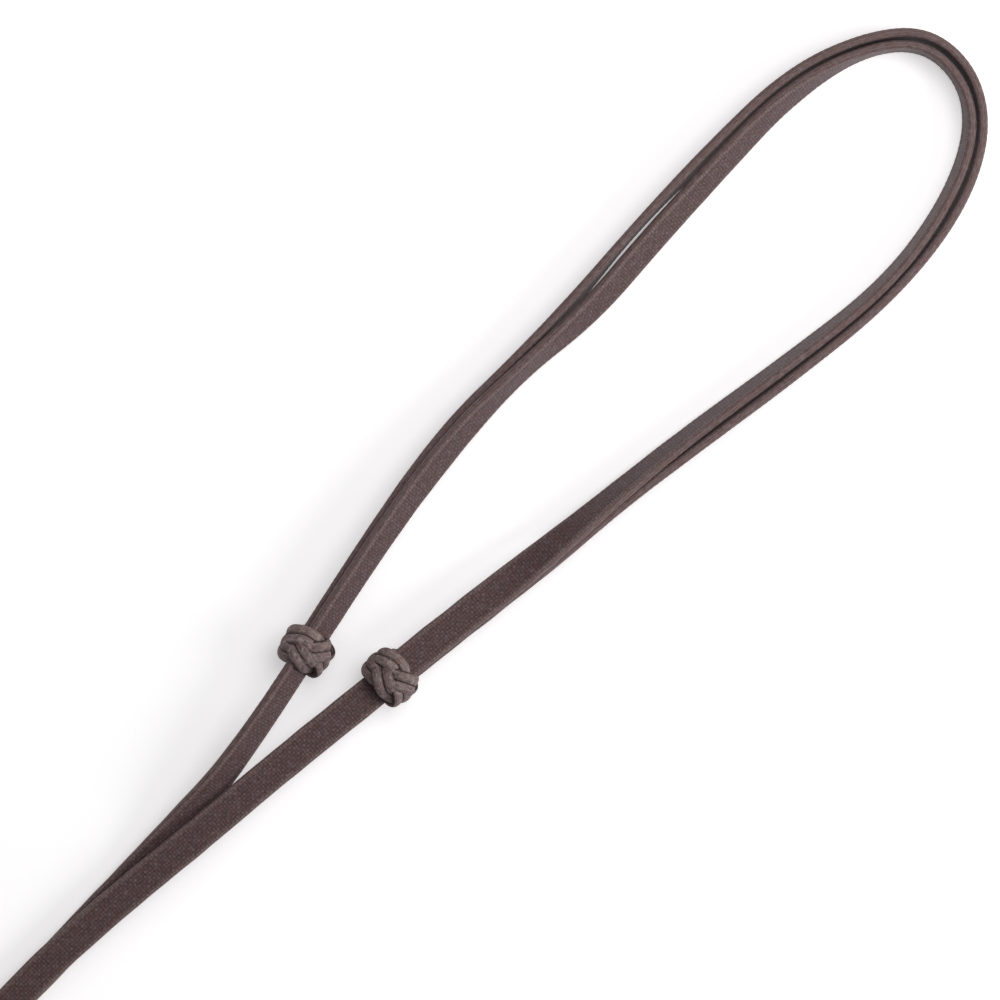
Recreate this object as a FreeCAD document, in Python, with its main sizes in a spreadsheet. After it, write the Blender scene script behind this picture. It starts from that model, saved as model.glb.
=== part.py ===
import FreeCAD, Part
import Sketcher
import math
import os

# Adjustable neck strap for a pair of glasses. Two flat waxed straps each run
# through one sliding knot, lie side by side round the neck loop and end inside
# the other strap's knot. A crimp, a wire link and a rubber temple loop with its
# wire coil close each free end. The strap lies on a table: +Z is up, +Y points
# from the temple loops to the tip of the neck loop, and the origin is under the
# middle of the whole part.

doc = FreeCAD.newDocument("EyeglassStrap")
Vector = FreeCAD.Vector

sizes = [
    ("strapWidth", 5.0, "width of the flat strap"),
    ("strapThick", 1.2, "thickness of the flat strap"),
    ("layerGap", 0.12, "gap between the two straps inside a knot"),
    ("knotSide", 2.0, "knot beyond the strap's edge, each side"),
    ("knotFace", 2.84, "knot beyond the two straps' faces, each side"),
    ("knotLong", 6.6, "knot along the strap"),
    ("knotRound", 2.2, "rounding of the knot's ends"),
    ("slotClear", 0.22, "gap round the straps inside a knot"),
    ("tableGap", 0.1, "gap between the table and the leg that lies on it"),
    ("legsGap", 0.2, "gap between the two strap legs where they cross"),
    ("tipDepth", 5.2, "how far a strap's tip reaches into its knot"),
    ("leftTipShift", 0.9, "left knot: held tip lies this much lower across the strap"),
    ("rightTipShift", 0.3, "right knot: held tip lies this much nearer the loop's inside"),
    ("crimpSide", 0.75, "crimp's folded sides beside the strap"),
    ("crimpWall", 0.65, "crimp's walls above and below the strap"),
    ("crimpLong", 9.0, "crimp along the strap"),
    ("crimpFold", 0.78, "radius of the crimp's folded sides"),
    ("crimpGrip", 6.5, "length of strap held in the crimp"),
    ("crimpFit", 0.05, "gap between the crimp and the strap it holds"),
    ("coilLift", 0.03, "gap between the sliding coil and the table"),
    ("tabWide", 2.4, "rolled tab of the crimp, across"),
    ("tabRadius", 1.2, "outside radius of the rolled tab"),
    ("tabReach", 2.4, "tab pivot to the crimp's body"),
    ("tabSheet", 1.0, "thickness of the tab's neck"),
    ("wireRadius", 0.45, "wire of the link"),
    ("wirePlay", 0.08, "gap between the link's wire and its bores"),
    ("linkLong", 4.8, "pivot to pivot of the link"),
    ("linkHalfWide", 2.35, "link's centre line to its long side"),
    ("linkCorner", 0.9, "corner radius of the link's centre line"),
    ("neckWide", 2.4, "moulded neck of the temple loop, across"),
    ("neckRadius", 1.6, "moulded neck round its bore"),
    ("neckLong", 5.5, "bore to the end of the neck"),
    ("rubberRadius", 0.9, "round rubber of the temple loop"),
    ("legGap", 0.5, "gap between the two legs of the temple loop"),
    ("legStart", 2.3, "bore to the start of the legs"),
    ("legEnd", 17.5, "bore to the end of the straight legs"),
    ("eyeHalf", 3.6, "middle of the eye to its rubber's centre line"),
    ("eyeShoulder", 6.2, "radius of the eye's shoulder bends"),
    ("eyeLong", 30.0, "bore to the centre of the eye's end bend"),
    ("coilRadius", 0.35, "wire of the sliding coil"),
    ("coilPlay", 0.12, "gap between the coil and the rubber"),
    ("coilLong", 5.6, "length of the sliding coil"),
    ("coilStart", 6.3, "bore to the near end of the coil"),
]

sheet = doc.addObject("Spreadsheet::Sheet", "Sizes")
for row, (alias, value, note) in enumerate(sizes, start=1):
    sheet.set("A%d" % row, note)
    sheet.set("B%d" % row, str(value))
    sheet.setAlias("B%d" % row, alias)
doc.recompute()


# Sizes worked out from those above, as expressions of the sheet.
knotWide = "(Sizes.strapWidth + 2 * Sizes.knotSide)"
knotDeep = "(2 * Sizes.strapThick + Sizes.layerGap + 2 * Sizes.knotFace)"
crimpWide = "(Sizes.strapWidth + 2 * Sizes.crimpFit + 2 * Sizes.crimpSide)"
crimpThick = "(Sizes.strapThick + 2 * Sizes.crimpFit + 2 * Sizes.crimpWall)"
legApart = "(Sizes.rubberRadius + Sizes.legGap / 2)"
coilInner = "(Sizes.rubberRadius + Sizes.coilPlay)"
hingeHeight = "(%s + 2 * Sizes.coilRadius + Sizes.coilLift)" % coilInner


def size(alias):
    return float(getattr(sheet, alias))


def worked(expression):
    return float(sheet.evalExpression(expression))


# Control points of each strap: x, y, height of its centre line, and the angle
# in degrees that its upper face leans towards the inside of the neck loop.
# layerShift is half the distance between the two straps held in one knot.
layerShift = (size("strapThick") + size("layerGap")) / 2
endRise = worked(crimpThick) / 2
legUnder = size("strapThick") / 2 + size("tableGap")          # the leg that lies on the table
legOver = legUnder + size("strapThick") + size("legsGap")     # the leg that lies on it
endTop = -122.4          # where the straps leave their crimps
leftEndX, rightEndX = -7.4, 6.6
leftTailTop, rightTailTop = 103.0, 108.0     # where each strap's sliding tail begins

# The two knots: a point on the slide line, its direction in plan, and the lean
# of the straps there. Both knots rest on the table.
knots = {
    "left": {"centre": (-7.0, 40.3), "slope": -0.2217, "lean": 56.0, "tipShift": -size("leftTipShift")},
    "right": {"centre": (4.85, 46.5), "slope": 0.115, "lean": 0.0, "tipShift": size("rightTipShift")},
}
for knot in knots.values():
    leanAngle = math.radians(knot["lean"])
    knot["height"] = math.hypot(worked(knotWide) / 2 * math.sin(leanAngle),
                                worked(knotDeep) / 2 * math.cos(leanAngle))


def knotAxes(side):
    # Slide direction, direction across the strap (to its high edge, or to the
    # inside of the loop where it lies flat) and face normal, of unit length.
    knot = knots[side]
    along = Vector(knot["slope"], 1, 0).normalize()
    inside = along.cross(Vector(0, 0, 1)) * (1 if side == "left" else -1)
    lean = math.radians(knot["lean"])
    normal = Vector(0, 0, math.cos(lean)) + inside * math.sin(lean)
    across = normal.cross(along)
    return along, across, normal


def onKnotLine(side, y, strap):
    # The point of one strap's centre line where the slide line passes y. The
    # left strap is the inner layer. In each knot the other side's strap ends,
    # and its tip is shifted across.
    layer = 1 if strap == "left" else -1
    shift = (-0.5 if strap == side else 0.5) * knots[side]["tipShift"]
    knot = knots[side]
    along, across, normal = knotAxes(side)
    middle = Vector(knot["centre"][0], knot["centre"][1], knot["height"])
    point = middle + along * ((y - knot["centre"][1]) / along.y)
    point += normal * (layer * layerShift) + across * shift
    return (point.x, point.y, point.z, knot["lean"])


leftLeg = [
    (leftEndX, endTop - size("crimpGrip"), endRise, 0),
    (leftEndX, -103, endRise, 0),
    (-6.2, -78, legUnder + 0.1, 0),
    (-2.4, -52, legUnder, 0),
    (-0.6, -30, legUnder, 0),
    (-1.2, -11, 0.95, 4),
    (-1.6, 5, 1.75, 20),
    onKnotLine("left", 22.5, "left"),
]
leftLoop = [
    onKnotLine("left", 59.5, "left"),
    (-13.8, 79.5, 4.1, 50),
    (-13.9, 93, 3.4, 72),
    (-12.8, 107, 2.7, 50),
    (-13.9, 121, 2.4, 49),
    (-14.6, 136, 2.5, 52),
    (-14.95, 151, 2.7, 61),
    (-11.9, 163.6, 2.7, 86),
    (-5.4, 170.6, 2.7, 90),
    (2.6, 171.5, 2.7, 90),
    (9.5, 166.4, 2.7, 79),
    (14.1, 155.5, 2.7, 79),
    (16.1, 141, 2.7, 77),
    (13.8, 122.5, 2.7, 72),
    (10.9, 104, 2.9, 68),
]
leftTail = [
    (9.25, 88, 4.0, 58),
    (8.2, 76, 4.6, 36),
    onKnotLine("right", 63, "left"),
]

rightLeg = [
    (rightEndX, endTop - size("crimpGrip"), endRise, 0),
    (rightEndX, -103, endRise, 0),
    (5.2, -77, 1.5, 0),
    (1.0, -50, legOver, 0),
    (-1.3, -29, legOver, 0),
    (-0.6, -10, 2.9, 0),
    (1.3, 9, 3.9, 0),
    onKnotLine("right", 27, "right"),
]
rightLoop = [
    onKnotLine("right", 67, "right"),
    (10.2, 87, 2.6, 66),
    (12.6, 103, 2.65, 72),
    (15.6, 121.5, 2.65, 78),
    (17.8, 140, 2.65, 84),
    (16.3, 156, 2.65, 89),
    (11.1, 167.7, 2.65, 90),
    (3.0, 173.3, 2.65, 90),
    (-5.7, 172.5, 2.65, 90),
    (-12.6, 166.0, 2.65, 90),
    (-17.25, 153.5, 2.65, 90),
    (-17.65, 137, 2.65, 90),
    (-17.1, 121.5, 2.65, 88),
    (-15.8, 107, 2.65, 78),
]
rightTail = [
    (-15.2, 94, 2.6, 71),
    (-15.05, 79, 2.7, 60),
    onKnotLine("left", 60.5, "right"),
]


def routeStations(points, turnStep=9.0):
    # Straight runs joined by tangent arcs. Returns the stations of the path as
    # (position, tangent, lean), and prints each arc's radius.
    spots = [Vector(*p[:3]) for p in points]
    leans = [p[3] for p in points]
    startWay = Vector(spots[1] - spots[0]).normalize()
    endWay = Vector(spots[-1] - spots[-2]).normalize()
    stations = [(spots[0], startWay, leans[0])]
    radii = []
    lastEnd, lastLean = spots[0], leans[0]
    for i in range(1, len(spots) - 1):
        before, after = spots[i] - spots[i - 1], spots[i + 1] - spots[i]
        shorter = min(before.Length, after.Length)
        turn = before.getAngle(after)
        reach = 0.45 * shorter
        radius = reach / math.tan(turn / 2)
        radii.append(radius)
        start = spots[i] - before.normalize() * reach
        end = spots[i] + after.normalize() * reach
        middle = (spots[i] * 2 - start - end).normalize()
        centre = spots[i] - middle * (radius / math.cos(turn / 2))
        through = centre + middle * radius
        arc = Part.Arc(start, through, end)
        steps = max(2, math.ceil(math.degrees(turn) / turnStep))
        runBefore = (spots[i] - spots[i - 1]).Length
        runAfter = (spots[i + 1] - spots[i]).Length
        leanIn = leans[i] + (leans[i - 1] - leans[i]) * reach / runBefore
        leanOut = leans[i] + (leans[i + 1] - leans[i]) * reach / runAfter
        stations += runStations(lastEnd, start, lastLean, leanIn)
        for k in range(steps + 1):
            share = k / steps
            parameter = arc.FirstParameter + share * (arc.LastParameter - arc.FirstParameter)
            tangent = Vector(*arc.tangent(parameter)[0])
            if tangent.dot(before) < 0:
                tangent = tangent * -1
            lean = leanIn + (leanOut - leanIn) * share
            stations.append((arc.value(parameter), tangent, lean))
        lastEnd, lastLean = end, leanOut
    stations += runStations(lastEnd, spots[-1], lastLean, leans[-1])
    stations.append((spots[-1], endWay, leans[-1]))
    return stations, radii


def runStations(start, end, leanStart, leanEnd, leanStep=6.0):
    # The stations between the two ends of a straight run, close enough for a
    # smooth twist.
    run = end - start
    tangent = Vector(run).normalize()
    steps = max(1, math.ceil(abs(leanEnd - leanStart) / leanStep))
    return [
        (start + run * (k / steps), tangent, leanStart + (leanEnd - leanStart) * k / steps)
        for k in range(1, steps)
    ]


def strapSection(position, tangent, lean, inward):
    # The strap's flat section at one station. inward is +1 where the loop's
    # inside is on the right of the direction of travel, -1 on the left.
    side = tangent.cross(Vector(0, 0, 1)).normalize() * inward
    upright = side.cross(tangent) * inward
    angle = math.radians(lean)
    normal = upright * math.cos(angle) + side * math.sin(angle)
    across = tangent.cross(normal).normalize() * (size("strapWidth") / 2)
    deep = Vector(normal).normalize() * (size("strapThick") / 2)
    corners = [across + deep, across - deep, across * -1 - deep, across * -1 + deep]
    return Part.makePolygon([position + c for c in corners + corners[:1]])


def strapSolid(stations, inward):
    sections = [strapSection(*station, inward) for station in stations]
    return Part.makeLoft(sections, True, True)


def addStrap(label, stations, inward):
    strap = doc.addObject("Part::Feature", label)
    strap.Label = label
    strap.Shape = strapSolid(stations, inward)
    strap.Placement = FreeCAD.Placement()
    length = sum((b[0] - a[0]).Length for a, b in zip(stations, stations[1:]))
    expected = length * size("strapWidth") * size("strapThick")
    print("%s: length %.1f mm, volume %.1f of %.1f mm3" % (
        label, length, strap.Shape.Volume, expected))
    return strap


def splitStations(stations, y, downwards):
    # Cuts a list of stations where the path crosses the line y on its way
    # down (or up), and puts a station at the cut in both parts.
    for i in range(len(stations) - 1, 0, -1):
        a, b = stations[i - 1], stations[i]
        if (a[0].y - y) * (b[0].y - y) <= 0 and (b[0].y < a[0].y) == downwards:
            share = (y - a[0].y) / (b[0].y - a[0].y)
            cut = (a[0] + (b[0] - a[0]) * share,
                   (a[1] + (b[1] - a[1]) * share).normalize(),
                   a[2] + (b[2] - a[2]) * share)
            return stations[:i] + [cut], [cut] + stations[i:]


def addStrapPieces(side, other, points, tailTop, inward):
    # One strap: its main length, the tail that lengthens and shortens as the
    # other side's knot slides, and the tip that the knot holds.
    slide = knotAxes(other)[0]
    middleY = knots[other]["centre"][1]
    half = size("knotLong") / 2
    tipTop = middleY + half * slide.y
    tipEnd = middleY + (half - size("tipDepth")) * slide.y
    end = onKnotLine(other, tipEnd, side)
    stations, radii = routeStations(points + [end])
    print("%s strap arc radii: %s" % (side, " ".join("%.0f" % r for r in radii)))
    main, rest = splitStations(stations, tailTop, True)
    tail, tip = splitStations(rest, tipTop, True)
    return [
        addStrap(side + "_strap", main, inward),
        addStrap(side + "_strap_tail", tail, inward),
        addStrap(side + "_strap_tip", tip, inward),
    ]


def originPlane(body, role):
    return [f for f in body.Origin.OriginFeatures if f.Role == role][0]


def addSketch(body, name, role, offset=None):
    # offset is an expression for the distance along the plane's normal.
    sketch = body.newObject("Sketcher::SketchObject", name)
    sketch.AttachmentSupport = [(originPlane(body, role), "")]
    sketch.MapMode = "FlatFace"
    if offset:
        sketch.setExpression("AttachmentOffset.Base.z", offset)
    return sketch


def bindDistance(sketch, name, kind, places, start, expression):
    # A named size of the sketch that follows the sheet.
    index = sketch.addConstraint(Sketcher.Constraint(kind, *places, start))
    sketch.renameConstraint(index, name)
    sketch.setExpression("Constraints." + name, expression)


def centredRectangle(sketch, prefix, wide, high, middle="0", start=(4.0, 2.0, 0.0)):
    # A rectangle across the sketch's upright axis. wide, high and middle are
    # expressions; start holds first guesses that only have to be sensible.
    w, h, m = start
    corners = [Vector(-w / 2, m - h / 2, 0), Vector(w / 2, m - h / 2, 0),
               Vector(w / 2, m + h / 2, 0), Vector(-w / 2, m + h / 2, 0)]
    first = sketch.GeometryCount
    for a, b in zip(corners, corners[1:] + corners[:1]):
        sketch.addGeometry(Part.LineSegment(a, b), False)
    for k in range(4):
        sketch.addConstraint(Sketcher.Constraint("Coincident", first + k, 2, first + (k + 1) % 4, 1))
    for k, kind in enumerate(["Horizontal", "Vertical", "Horizontal", "Vertical"]):
        sketch.addConstraint(Sketcher.Constraint(kind, first + k))
    bindDistance(sketch, prefix + "Right", "DistanceX", (-1, 1, first + 1, 1), w / 2, "(%s) / 2" % wide)
    bindDistance(sketch, prefix + "Wide", "DistanceX", (first, 1, first, 2), w, wide)
    bindDistance(sketch, prefix + "High", "DistanceY", (first + 1, 1, first + 1, 2), h, high)
    bindDistance(sketch, prefix + "Low", "DistanceY", (first + 1, 1, -1, 1), h / 2 - m,
                 "(%s) / 2 - (%s)" % (high, middle))


def addCircle(sketch, prefix, radius, x="0", start=(1.0, 0.0)):
    r, cx = start
    index = sketch.addGeometry(Part.Circle(Vector(cx, 0, 0), Vector(0, 0, 1), r), False)
    bindDistance(sketch, prefix + "Radius", "Radius", (index,), r, radius)
    if x == "0":
        sketch.addConstraint(Sketcher.Constraint("Coincident", index, 3, -1, 1))
    else:
        bindDistance(sketch, prefix + "X", "DistanceX", (-1, 1, index, 3), cx, x)
        sketch.addConstraint(Sketcher.Constraint("PointOnObject", index, 3, -1))


def addExtrusion(body, kind, name, sketch, length, symmetric=False, reverse=False):
    feature = body.newObject("PartDesign::" + kind, name)
    feature.Profile = sketch
    feature.setExpression("Length", length)
    if symmetric:
        feature.SideType = "Symmetric"
    feature.Reversed = reverse
    return feature


def addKnot(side):
    body = doc.addObject("PartDesign::Body", side + "_knot")
    body.Label = side + "_knot"
    outline = addSketch(body, side + "KnotOutline", "XY_Plane")
    # an ellipse needs its longer axis first, whichever way that lies
    axes = [(worked(knotWide), "wide", knotWide, Vector(1, 0, 0), "Horizontal"),
            (worked(knotDeep), "deep", knotDeep, Vector(0, 1, 0), "Vertical")]
    axes.sort(key=lambda axis: -axis[0])
    ends = [way * span / 2 for span, name, size, way, lie in axes]
    outline.addGeometry(Part.Ellipse(ends[0], ends[1], Vector(0, 0, 0)), False)
    outline.exposeInternalGeometry(0)
    outline.addConstraint(Sketcher.Constraint("Coincident", 0, 3, -1, 1))
    outline.addConstraint(Sketcher.Constraint(axes[0][4], 1))
    for line, (span, name, size, way, lie) in enumerate(axes, 1):
        bindDistance(outline, name, "Distance", (line,), span, size)
    barrel = addExtrusion(body, "Pad", side + "KnotBarrel", outline, "Sizes.knotLong", symmetric=True)
    doc.recompute()
    rims = ["Edge%d" % (i + 1) for i, e in enumerate(barrel.Shape.Edges)
            if abs(e.BoundBox.ZMax - e.BoundBox.ZMin) < 0.01]
    rounded = body.newObject("PartDesign::Fillet", side + "KnotRounding")
    rounded.Base = (barrel, rims)
    rounded.setExpression("Radius", "Sizes.knotRound")
    doc.recompute()
    slotSketch = addSketch(body, side + "KnotSlotOutline", "XY_Plane")
    centredRectangle(slotSketch, "slot", "Sizes.strapWidth + Sizes.%sTipShift + 2 * Sizes.slotClear" % side,
                     "2 * Sizes.strapThick + Sizes.layerGap + 2 * Sizes.slotClear", start=(5.4, 3.0, 0))
    addExtrusion(body, "Pocket", side + "KnotSlot", slotSketch, "2 * Sizes.knotLong", symmetric=True)
    along, across, normal = knotAxes(side)
    knot = knots[side]
    place = FreeCAD.Placement(Vector(*knot["centre"], knot["height"]),
                              FreeCAD.Rotation(across, normal, along, "ZXY"))
    body.Placement = place
    return body


def addCrimp(side, pivot):
    body = doc.addObject("PartDesign::Body", side + "_end_crimp")
    body.Label = side + "_end_crimp"
    middle = "%s / 2 - %s" % (crimpThick, hingeHeight)
    blockSketch = addSketch(body, side + "CrimpOutline", "XZ_Plane", "-Sizes.tabReach")
    centredRectangle(blockSketch, "block", crimpWide, crimpThick, middle, (6.6, 2.6, -0.45))
    block = addExtrusion(body, "Pad", side + "CrimpBlock", blockSketch, "Sizes.crimpLong", reverse=True)
    doc.recompute()
    longEdges = ["Edge%d" % (i + 1) for i, e in enumerate(block.Shape.Edges)
                 if e.BoundBox.YLength > 0.9 * size("crimpLong")]
    folds = body.newObject("PartDesign::Fillet", side + "CrimpFolds")
    folds.Base = (block, longEdges)
    folds.setExpression("Radius", "Sizes.crimpFold")
    doc.recompute()
    tabSketch = addSketch(body, side + "TabOutline", "YZ_Plane")
    addCircle(tabSketch, "tab", "Sizes.tabRadius", start=(1.2, 0))
    addExtrusion(body, "Pad", side + "TabRoll", tabSketch, "Sizes.tabWide", symmetric=True)
    neckSketch = addSketch(body, side + "TabNeckOutline", "XZ_Plane", "-Sizes.tabReach - Sizes.tabSheet / 2")
    centredRectangle(neckSketch, "neck", "Sizes.tabWide", "Sizes.tabSheet",
                     "Sizes.tabSheet / 2 - Sizes.tabRadius", (2.4, 1.0, -0.7))
    addExtrusion(body, "Pad", side + "TabNeck", neckSketch, "Sizes.tabReach + Sizes.tabSheet / 2")
    boreSketch = addSketch(body, side + "TabBoreOutline", "YZ_Plane")
    addCircle(boreSketch, "bore", "Sizes.wireRadius + Sizes.wirePlay", start=(0.53, 0))
    addExtrusion(body, "Pocket", side + "TabBore", boreSketch, "2 * Sizes.tabWide", symmetric=True)
    gripSketch = addSketch(body, side + "GripOutline", "XZ_Plane", "-Sizes.tabReach - Sizes.crimpLong")
    centredRectangle(gripSketch, "grip", "Sizes.strapWidth + 2 * Sizes.crimpFit",
                     "Sizes.strapThick + 2 * Sizes.crimpFit", middle, (5.1, 1.3, -0.45))
    addExtrusion(body, "Pocket", side + "Grip", gripSketch, "Sizes.crimpGrip + Sizes.crimpFit", reverse=True)
    body.Placement = FreeCAD.Placement(pivot, FreeCAD.Rotation())
    return body


def addLink(side, pivot):
    # A closed ring of wire: its near bar turns in the crimp's tab and its far
    # bar holds the temple loop.
    body = doc.addObject("PartDesign::Body", side + "_end_link")
    body.Label = side + "_end_link"
    path = addSketch(body, side + "LinkPath", "XY_Plane")
    w, long, corner = size("linkHalfWide"), size("linkLong"), size("linkCorner")
    left, right, near, far = -w, w, 0.0, -long
    lines = [((left + corner, near), (right - corner, near)),
             ((right, near - corner), (right, far + corner)),
             ((right - corner, far), (left + corner, far)),
             ((left, far + corner), (left, near - corner))]
    bends = [(right - corner, near - corner, 0, 90), (right - corner, far + corner, -90, 0),
             (left + corner, far + corner, 180, 270), (left + corner, near - corner, 90, 180)]
    for a, b in lines:
        path.addGeometry(Part.LineSegment(Vector(*a, 0), Vector(*b, 0)), False)
    for x, y, start, stop in bends:
        circle = Part.Circle(Vector(x, y, 0), Vector(0, 0, 1), corner)
        path.addGeometry(Part.ArcOfCircle(circle, math.radians(start), math.radians(stop)), False)
    joins = [(0, 2, 4, 2), (4, 1, 1, 1), (1, 2, 5, 2), (5, 1, 2, 1),
             (2, 2, 6, 2), (6, 1, 3, 1), (3, 2, 7, 2), (7, 1, 0, 1)]
    for join in joins:
        path.addConstraint(Sketcher.Constraint("Tangent", *join))
    for line, kind in enumerate(["Horizontal", "Vertical", "Horizontal", "Vertical"]):
        path.addConstraint(Sketcher.Constraint(kind, line))
    for bend in (5, 6, 7):
        path.addConstraint(Sketcher.Constraint("Equal", 4, bend))
    path.addConstraint(Sketcher.Constraint("PointOnObject", 0, 1, -1))
    bindDistance(path, "corner", "Radius", (4,), corner, "Sizes.linkCorner")
    bindDistance(path, "right", "DistanceX", (-1, 1, 1, 1), w, "Sizes.linkHalfWide")
    bindDistance(path, "left", "DistanceX", (3, 1, -1, 1), w, "Sizes.linkHalfWide")
    bindDistance(path, "pitch", "DistanceY", (2, 1, 0, 1), long, "Sizes.linkLong")
    wire = addSketch(body, side + "LinkWire", "YZ_Plane")
    addCircle(wire, "wire", "Sizes.wireRadius", start=(0.45, 0))
    doc.recompute()
    ring = body.newObject("PartDesign::AdditivePipe", side + "LinkRing")
    ring.Profile = wire
    ring.Spine = (path, ["Edge%d" % (k + 1) for k in range(8)])
    body.Placement = FreeCAD.Placement(pivot, FreeCAD.Rotation())
    return body


def addTempleLoop(side, pivot):
    body = doc.addObject("PartDesign::Body", side + "_temple_loop")
    body.Label = side + "_temple_loop"
    leg, eye, bend = worked(legApart), size("eyeHalf"), size("eyeShoulder")
    top, low, end = -size("legStart"), -size("legEnd"), -size("eyeLong")
    turn = math.acos(1 - (eye - leg) / (2 * bend))
    drop = 2 * bend * math.sin(turn)
    path = addSketch(body, side + "LoopPath", "XY_Plane")

    def line(x, y1, y2):
        return path.addGeometry(Part.LineSegment(Vector(x, y1, 0), Vector(x, y2, 0)), False)

    def arc(x, y, radius, start, stop):
        circle = Part.Circle(Vector(x, y, 0), Vector(0, 0, 1), radius)
        return path.addGeometry(Part.ArcOfCircle(circle, start, stop), False)

    line(leg, top, low)
    arc(leg + bend, low, bend, math.pi, math.pi + turn)
    arc(eye - bend, low - drop, bend, 0, turn)
    line(eye, low - drop, end)
    arc(0, end, eye, math.pi, 2 * math.pi)
    line(-eye, end, low - drop)
    arc(bend - eye, low - drop, bend, math.pi - turn, math.pi)
    arc(-leg - bend, low, bend, -turn, 0)
    line(-leg, low, top)
    joins = [(0, 2, 1, 1), (1, 2, 2, 2), (2, 1, 3, 1), (3, 2, 4, 2),
             (4, 1, 5, 1), (5, 2, 6, 2), (6, 1, 7, 1), (7, 2, 8, 1)]
    for join in joins:
        path.addConstraint(Sketcher.Constraint("Tangent", *join))
    for upright in (0, 3, 5, 8):
        path.addConstraint(Sketcher.Constraint("Vertical", upright))
    for shoulder in (2, 6, 7):
        path.addConstraint(Sketcher.Constraint("Equal", 1, shoulder))
    bindDistance(path, "shoulder", "Radius", (1,), bend, "Sizes.eyeShoulder")
    bindDistance(path, "eye", "Radius", (4,), eye, "Sizes.eyeHalf")
    path.addConstraint(Sketcher.Constraint("PointOnObject", 4, 3, -2))
    bindDistance(path, "eyeLong", "DistanceY", (4, 3, -1, 1), -end, "Sizes.eyeLong")
    bindDistance(path, "rightLeg", "DistanceX", (-1, 1, 0, 1), leg, legApart)
    bindDistance(path, "leftLeg", "DistanceX", (8, 2, -1, 1), leg, legApart)
    bindDistance(path, "rightTop", "DistanceY", (0, 1, -1, 1), -top, "Sizes.legStart")
    bindDistance(path, "leftTop", "DistanceY", (8, 2, -1, 1), -top, "Sizes.legStart")
    bindDistance(path, "rightLow", "DistanceY", (0, 2, -1, 1), -low, "Sizes.legEnd")
    bindDistance(path, "leftLow", "DistanceY", (8, 1, -1, 1), -low, "Sizes.legEnd")
    rubber = addSketch(body, side + "LoopRubber", "XZ_Plane", "Sizes.legStart")
    addCircle(rubber, "rubber", "Sizes.rubberRadius", x=legApart, start=(0.9, 1.15))
    doc.recompute()
    ring = body.newObject("PartDesign::AdditivePipe", side + "LoopRing")
    ring.Profile = rubber
    ring.Spine = (path, ["Edge%d" % (k + 1) for k in range(9)])
    doc.recompute()
    neckSketch = addSketch(body, side + "NeckOutline", "YZ_Plane")
    addCircle(neckSketch, "neck", "Sizes.neckRadius", start=(1.6, 0))
    addExtrusion(body, "Pad", side + "NeckRound", neckSketch, "Sizes.neckWide", symmetric=True)
    stemSketch = addSketch(body, side + "StemOutline", "XZ_Plane")
    centredRectangle(stemSketch, "stem", "Sizes.neckWide", "2 * Sizes.neckRadius", start=(2.4, 3.2, 0))
    addExtrusion(body, "Pad", side + "NeckStem", stemSketch, "Sizes.neckLong")
    boreSketch = addSketch(body, side + "NeckBoreOutline", "YZ_Plane")
    addCircle(boreSketch, "bore", "Sizes.wireRadius + Sizes.wirePlay", start=(0.53, 0))
    addExtrusion(body, "Pocket", side + "NeckBore", boreSketch, "2 * Sizes.neckWide", symmetric=True)
    body.Placement = FreeCAD.Placement(pivot, FreeCAD.Rotation())
    return body


def stadium(sketch, prefix, half, radius, start):
    # Two half circles joined by flats: half is the distance of their centres
    # from the middle. Both are expressions.
    h, r = start
    first = sketch.GeometryCount
    rightCap = Part.Circle(Vector(h, 0, 0), Vector(0, 0, 1), r)
    leftCap = Part.Circle(Vector(-h, 0, 0), Vector(0, 0, 1), r)
    sketch.addGeometry(Part.ArcOfCircle(rightCap, -math.pi / 2, math.pi / 2), False)
    sketch.addGeometry(Part.LineSegment(Vector(h, r, 0), Vector(-h, r, 0)), False)
    sketch.addGeometry(Part.ArcOfCircle(leftCap, math.pi / 2, 3 * math.pi / 2), False)
    sketch.addGeometry(Part.LineSegment(Vector(-h, -r, 0), Vector(h, -r, 0)), False)
    for a, endA, b, endB in [(0, 2, 1, 1), (1, 2, 2, 1), (2, 2, 3, 1), (3, 2, 0, 1)]:
        sketch.addConstraint(Sketcher.Constraint("Tangent", first + a, endA, first + b, endB))
    sketch.addConstraint(Sketcher.Constraint("PointOnObject", first, 3, -1))
    sketch.addConstraint(Sketcher.Constraint("PointOnObject", first + 2, 3, -1))
    bindDistance(sketch, prefix + "Radius", "Radius", (first,), r, radius)
    bindDistance(sketch, prefix + "Right", "DistanceX", (-1, 1, first, 3), h, half)
    bindDistance(sketch, prefix + "Left", "DistanceX", (first + 2, 3, -1, 1), h, half)


def addCoil(side, pivot):
    # The close-wound coil round both legs, as the sleeve that its turns fill.
    body = doc.addObject("PartDesign::Body", side + "_loop_coil")
    body.Label = side + "_loop_coil"
    rings = addSketch(body, side + "CoilOutline", "XZ_Plane", "Sizes.coilStart")
    half, inner, wire = worked(legApart), worked(coilInner), size("coilRadius")
    stadium(rings, "outer", legApart, coilInner + " + 2 * Sizes.coilRadius", (half, inner + 2 * wire))
    stadium(rings, "inner", legApart, coilInner, (half, inner))
    addExtrusion(body, "Pad", side + "CoilSleeve", rings, "Sizes.coilLong")
    body.Placement = FreeCAD.Placement(pivot, FreeCAD.Rotation())
    return body


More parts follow.
